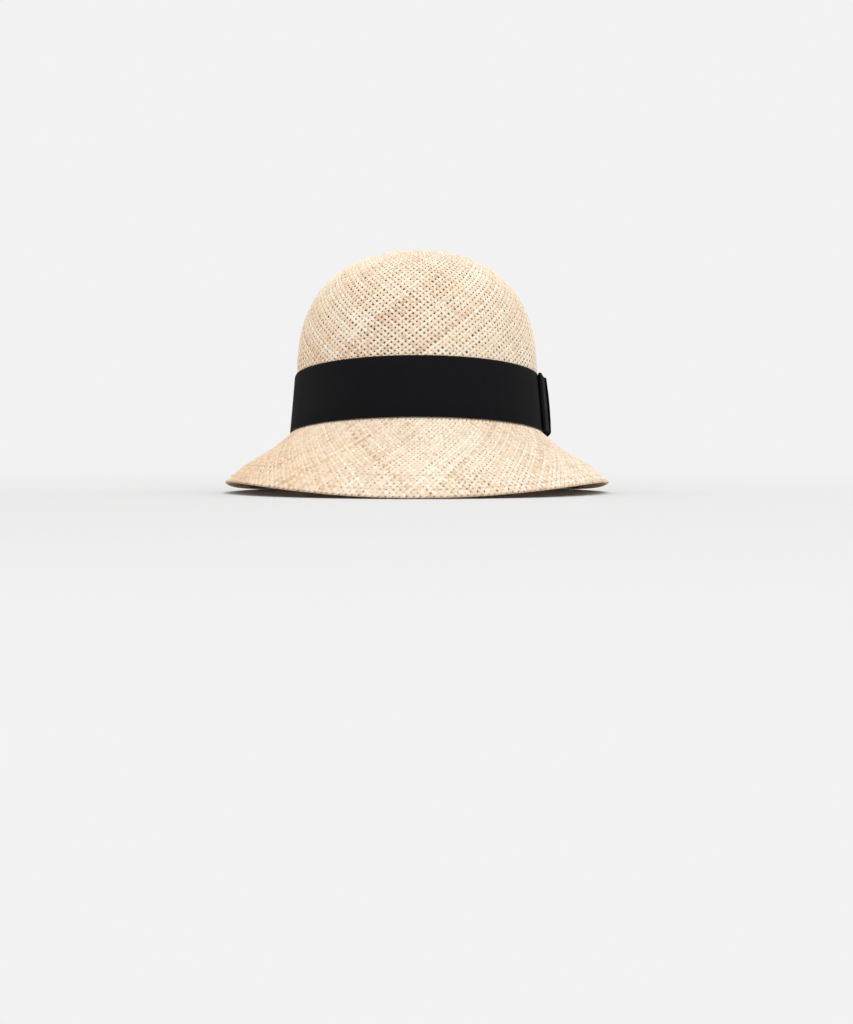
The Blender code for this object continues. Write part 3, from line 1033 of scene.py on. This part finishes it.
def loops_line():
    """The racetrack: under layer, half turn, upper layer, half turn. Near the middle both
    layers are pinched against each other, which eases out as a half cosine."""
    layer, loft = RIBBON_THICKNESS + CLEARANCE, RIBBON_THICKNESS + LOOP_GAP
    under = CLEARANCE + RIBBON_THICKNESS / 2
    reach = (BOW_LENGTH - loft - RIBBON_THICKNESS) / 2
    along = np.linspace(-reach, reach, 121)
    past = np.clip((np.abs(along) - KNOT_WIDTH / 2) / LOOP_BLEND, 0, 1)
    pinch = 0.5 + 0.5 * np.cos(np.pi * past)
    turn = np.linspace(0, np.pi, 17)[1:-1]
    bend, middle = loft / 2, under + loft / 2
    return along_line(
        np.concatenate([along, reach + bend * np.sin(turn), along[::-1],
                        -reach - bend * np.sin(turn)]),
        np.concatenate([under + layer * pinch, middle - bend * np.cos(turn),
                        (under + loft + (2 * layer - loft) * pinch)[::-1],
                        middle + bend * np.cos(turn)]))


LOOPS_RUN, LOOPS_ALONG, LOOPS_PROUD = loops_line()
print("ribbon in the loops, mm:", round(LOOPS_RUN[-1] * 1000))

# %% [markdown]
# ## The bow's knot
#
# The wrap is the same kind of line seen from the side, in distance up the band and distance
# proud of it. Four straight runs would make a box, but pressed ribbon keeps a small radius
# at a fold and stands a little full between two folds.

# %% Knot as a closed line
KNOT_BULGE = 0.0006
KNOT_CORNER = 0.001


def knot_line():
    """The wrap: a box round both layers with rounded corners and a slightly full face."""
    half = RIBBON_THICKNESS / 2
    low, high = -half, RIBBON_WIDTH + 2 * CLEARANCE + half
    back = CLEARANCE + half
    front = back + 3 * (RIBBON_THICKNESS + CLEARANCE)
    turn = np.linspace(0, TURN / 4, 9)
    share = np.linspace(0, 1, 60)[1:-1]
    r = KNOT_CORNER
    corners = [(high - r, front - r, 1), (high - r, back + r, 0), (low + r, back + r, 3),
               (low + r, front - r, 2)]
    height = [low + r + (high - low - 2 * r) * share]
    proud = [front + KNOT_BULGE * np.sin(np.pi * share)]
    for at_height, at_proud, quarter in corners:
        angle = TURN / 4 * (quarter + 1) - turn
        height.append(at_height + r * np.cos(angle))
        proud.append(at_proud + r * np.sin(angle))
    return along_line(np.concatenate(height), np.concatenate(proud))


KNOT_RUN, KNOT_HEIGHT, KNOT_PROUD = knot_line()
print("ribbon in the knot, mm:", round(KNOT_RUN[-1] * 1000))

# %% [markdown]
# ## The bow
#
# The bow lies on the band at the wearer's left. It could be made flat and then bent, but
# it is simpler to lay its two lines straight on the curved band and to carry them across
# the ribbon's width.

# %% Bow
BOW_AZIMUTH = math.radians(92)
ARC_RADIUS = math.hypot(HEAD_HALF_WIDTH * math.cos(BOW_AZIMUTH),
                        HEAD_HALF_LENGTH * math.sin(BOW_AZIMUTH))


def bow_point(along, proud, height):
    """A point over the band: along it from the bow's middle, and proud of its face."""
    azimuth = BOW_AZIMUTH + along / ARC_RADIUS
    point = wall_point(azimuth, np.maximum(height, 0) + 0 * azimuth,
                       CLEARANCE + RIBBON_THICKNESS + proud)
    point[..., 2] += np.minimum(height, 0)
    return point


def loops_surface(run, across):
    """The loops' middle: the racetrack, carried up the band."""
    run = run % LOOPS_RUN[-1]
    return bow_point(np.interp(run, LOOPS_RUN, LOOPS_ALONG),
                     np.interp(run, LOOPS_RUN, LOOPS_PROUD), CLEARANCE + RIBBON_WIDTH * across)


def knot_surface(run, across):
    """The knot's middle: the wrap, carried along the band."""
    run = run % KNOT_RUN[-1]
    return bow_point(KNOT_WIDTH * (across - 0.5), np.interp(run, KNOT_RUN, KNOT_PROUD),
                     np.interp(run, KNOT_RUN, KNOT_HEIGHT))


def bow_piece(name, surface, run, width, hides):
    """One ribbon of the bow, ribbed and closed on itself."""
    piece = make_piece(name, *ribbed(surface, run[-1], width), RIBBON, "ribbon", [hides])


bow_piece("bow_loops_ribbon", loops_surface, LOOPS_RUN, RIBBON_WIDTH, "bow_loops")
bow_piece("bow_knot_ribbon", knot_surface, KNOT_RUN, KNOT_WIDTH, "bow_knot")

# %% [markdown]
# ## Floor
#
# The hat rests on a wide pale floor. A white sheet would end in a line behind the hat, so
# away from it the floor passes into a glow of the room's own brightness, and no horizon
# shows.

# %% The floor and its finish
ROOM = 0.888
PAPER_FRONT, PAPER_BACK = 0.675, 0.755
GLOW_STARTS, GLOW_GROWS = 0.25, 0.65
FLOOR_HALF = 15


def grey(level):
    """A grey without transparency."""
    return (level, level, level, 1)


def floor_finish():
    """Pale grey paper near the hat, a little paler towards the back, where less of the key
    light falls. The share of glow grows by a smooth step from 0.25 to 0.9 m out."""
    f = Finish("pale floor")
    here = f.node("ShaderNodeTexCoord", output=3)
    radius = f.node("ShaderNodeVectorMath", {"operation": "LENGTH"}, {0: here}, output=1)
    part = ((radius - GLOW_STARTS) / GLOW_GROWS).clipped()
    far = part * part * (3 - 2 * part)
    back = (f.node("ShaderNodeSeparateXYZ", {}, {"Vector": here}, output=1) + 0.5).clipped()
    paper = f.mix(far, f.mix(back, grey(PAPER_FRONT), grey(PAPER_BACK)), grey(0.0))
    glow = f.mix(far, grey(0.0), grey(ROOM))
    return f.shade({"Base Color": paper, "Roughness": 0.95, "Specular IOR Level": 0.0,
                    "Emission Color": glow, "Emission Strength": 1.0})


mesh = bpy.data.meshes.new("floor")
mesh.from_pydata([(x * FLOOR_HALF, y * FLOOR_HALF, 0)
                  for x, y in ((-1, -1), (1, -1), (1, 1), (-1, 1))], [], [(0, 1, 2, 3)])
mesh.materials.append(floor_finish())
floor = bpy.data.objects.new("floor", mesh)
bpy.context.scene.collection.objects.link(floor)
print("floor, m:", tuple(floor.dimensions[:2]))

# %% [markdown]
# ## Light
#
# The picture's light is soft and comes from everywhere, a little more from the upper right.
# A single lamp would throw hard shadows into the weave, so a bright even room does most of
# the work, with a soft key light over the camera's right shoulder and a weaker one above
# the back of the hat.

# %% A room and two soft lights
def soft_light(name, place, target, size, power):
    """A square area light at a place, turned to a target."""
    lamp = bpy.data.lights.new(name, "AREA")
    lamp.shape, lamp.size, lamp.energy = "SQUARE", size, power
    holder = bpy.data.objects.new(name, lamp)
    bpy.context.scene.collection.objects.link(holder)
    holder.location = place
    aim = Vector(target) - Vector(place)
    holder.rotation_euler = aim.to_track_quat("-Z", "Y").to_euler()


soft_light("key", (0.5, -1.5, 1.9), (0, 0, 0.1), 0.9, 16)
soft_light("top", (0, 0.5, 2.2), (0, 0.1, 0), 1.6, 7)
world = bpy.data.worlds.new("studio")
bpy.context.scene.world = world
world.use_nodes = True
world.node_tree.nodes["Background"].inputs["Color"].default_value = (1.0, 1.0, 1.0, 1)
world.node_tree.nodes["Background"].inputs["Strength"].default_value = ROOM
print("lights:", [lamp.name for lamp in bpy.data.lights], "and a room at", ROOM)

# %% [markdown]
# ## Camera
#
# The camera looks level at the hat's front from just over a metre away. It could be moved
# until the picture looks right, but its lens follows from the picture: the hat's brim is
# 258 mm wide and covers 381 of the picture's 853 dots, its middle is near dot 417, and its
# lowest point near dot 492 of 1024.

# %% Place the camera
DISTANCE = 1.05
CAMERA_HEIGHT = 0.032
PICTURE_WIDTH, PICTURE_HEIGHT = 853, 1024
MIDDLE_DOT, LOWEST_DOT = 417, 492
DOTS_PER_METRE = 381 / 0.2576
SENSOR = 36
lens = bpy.data.cameras.new("camera")
lens.sensor_fit = "VERTICAL"
lens.sensor_height = SENSOR
lens.lens = SENSOR * DOTS_PER_METRE * DISTANCE / PICTURE_HEIGHT
lens.shift_x = (PICTURE_WIDTH / 2 - MIDDLE_DOT) / PICTURE_HEIGHT
lens.shift_y = (LOWEST_DOT - PICTURE_HEIGHT / 2
                - DOTS_PER_METRE * CAMERA_HEIGHT) / PICTURE_HEIGHT
camera = bpy.data.objects.new("camera", lens)
bpy.context.scene.collection.objects.link(camera)
camera.location = (0, -DISTANCE, CAMERA_HEIGHT)
camera.rotation_euler = (TURN / 4, 0, 0)
bpy.context.scene.camera = camera
bpy.context.scene.view_settings.view_transform = "Standard"
print("lens, mm:", round(lens.lens, 1), "shift:", round(lens.shift_x, 4),
      round(lens.shift_y, 4))

# %% [markdown]
# ## Close the lesson
#
# The dressed hat has to keep the plain model's size.
